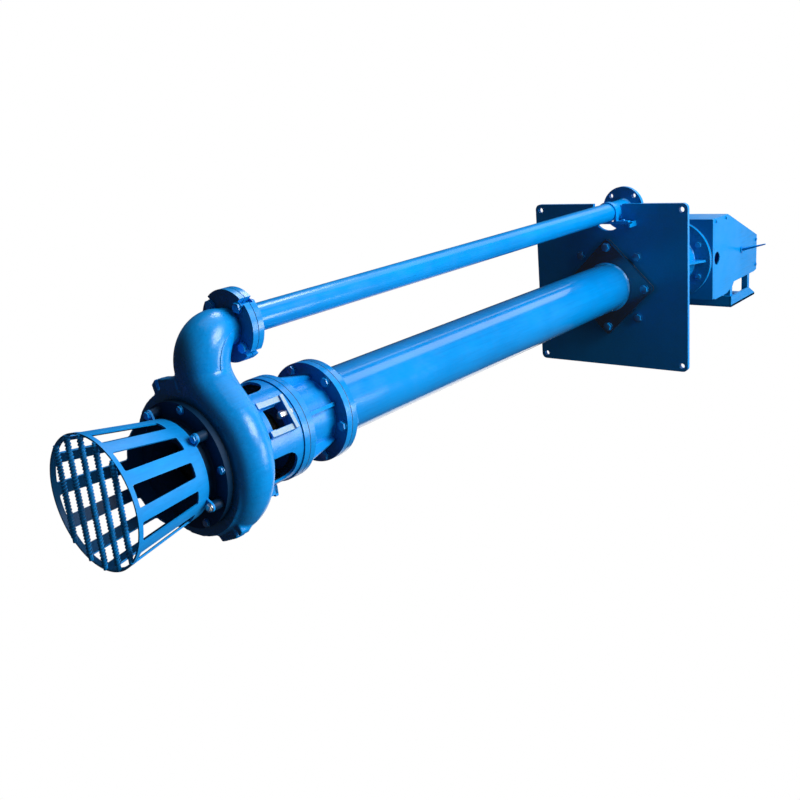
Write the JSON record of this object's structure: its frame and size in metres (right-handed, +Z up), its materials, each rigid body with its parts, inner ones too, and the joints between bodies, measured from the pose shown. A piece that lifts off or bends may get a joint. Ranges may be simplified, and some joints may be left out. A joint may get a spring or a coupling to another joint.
{
  "type": "vertical submerged slurry pump",
  "caption": "Vertical slurry pump: long column, swan-necked volute with strainer basket, discharge pipe, mounting plate and belt drive head.",
  "frame": {"origin": "centre of the mounting plate's underside, on the shaft axis, where the plate rests on the sump cover", "axes": "+Z up along the shaft towards the drive head; -X towards the discharge pipe; +X towards the motor plate; -Y towards the side with the handle"},
  "size_m": [0.7675, 0.7, 3.8487],
  "materials": {
    "blue_paint": "gloss",
    "zinc_steel": "satin",
    "bright_steel": "satin",
    "cast_iron": "rough",
    "rubber": "matte",
    "bronze": "satin"
  },
  "bodies": {
    "pump_frame": {"adapter_gasket_with_screws": "zinc_steel", "adjusting_screw_1": "zinc_steel", "adjusting_screw_2": "zinc_steel", "adjusting_screw_3": "zinc_steel", "bearing_housing": "blue_paint", "bracket_gasket_with_screws": "zinc_steel", "bush_carrier": "blue_paint", "clamp_brace": "blue_paint", "column_gasket_with_bolts": "zinc_steel", "column_tube": "blue_paint", "cover_gasket_with_screws": "zinc_steel", "discharge_gasket_with_bolts": "zinc_steel", "discharge_pipe": "blue_paint", "drive_base_plate": "blue_paint", "drive_gasket_with_bolts": "zinc_steel", "front_cheek": "blue_paint", "guard_handle": "blue_paint", "guard_wrap": "blue_paint", "head_gasket_with_bolts": "zinc_steel", "housing_gasket_with_bolts": "zinc_steel", "lower_bearing_cover": "blue_paint", "lower_bearing_outer_ring": "bright_steel", "lower_oil_seal": "rubber", "mounting_plate": "blue_paint", "pipe_clamp": "blue_paint", "pipe_clamp_bolt_1": "zinc_steel", "pipe_clamp_bolt_2": "zinc_steel", "rear_cheek": "blue_paint", "ribbed_spool": "blue_paint", "seal_carrier": "cast_iron", "shaft_lip_seal": "rubber", "strainer_basket": "blue_paint", "strainer_bolt_1": "zinc_steel", "strainer_bolt_2": "zinc_steel", "strainer_bolt_3": "zinc_steel", "strainer_bolt_4": "zinc_steel", "strainer_bolt_5": "zinc_steel", "suction_cover": "blue_paint", "throttle_bush": "bronze", "upper_bearing_cover": "blue_paint", "upper_bearing_outer_ring": "bright_steel", "upper_oil_seal": "rubber", "volute_casing": "blue_paint", "window_bracket": "blue_paint"},
    "rotor": {"shaft": "bright_steel", "impeller": "cast_iron", "impeller_nut": "bright_steel", "impeller_key": "bright_steel", "shaft_sleeve": "bright_steel", "slinger": "rubber", "bearing_lock_nut": "bright_steel", "lower_bearing_inner_ring": "bright_steel", "upper_bearing_inner_ring": "bright_steel", "belt_pulley": "cast_iron", "pulley_key": "bright_steel", "pulley_end_bolt": "zinc_steel"},
    "lower_cage": {"lower_bearing_rollers": "bright_steel"},
    "upper_cage": {"upper_bearing_rollers": "bright_steel"},
    "motor_tray": {"motor_plate": "blue_paint"}
  },
  "joints": [
    {"name": "rotor_spin", "type": "hinge", "parent": "pump_frame", "child": "rotor", "pos_m": [0, 0, 0], "axis": [0, 0, 1], "continuous": true},
    {"name": "lower_cage_spin", "type": "hinge", "parent": "pump_frame", "child": "lower_cage", "pos_m": [0, 0, 0.07], "axis": [0, 0, 1], "continuous": true},
    {"name": "upper_cage_spin", "type": "hinge", "parent": "pump_frame", "child": "upper_cage", "pos_m": [0, 0, 0.6], "axis": [0, 0, 1], "continuous": true},
    {"name": "belt_tension_slide", "type": "slide", "parent": "pump_frame", "child": "motor_tray", "axis": [1, 0, 0], "range_m": [-0.02, 0.02]}
  ],
  "couplings": [
    {"joint": "lower_cage_spin", "follows": "rotor_spin", "ratio": 0.4143},
    {"joint": "upper_cage_spin", "follows": "rotor_spin", "ratio": 0.4143}
  ]
}
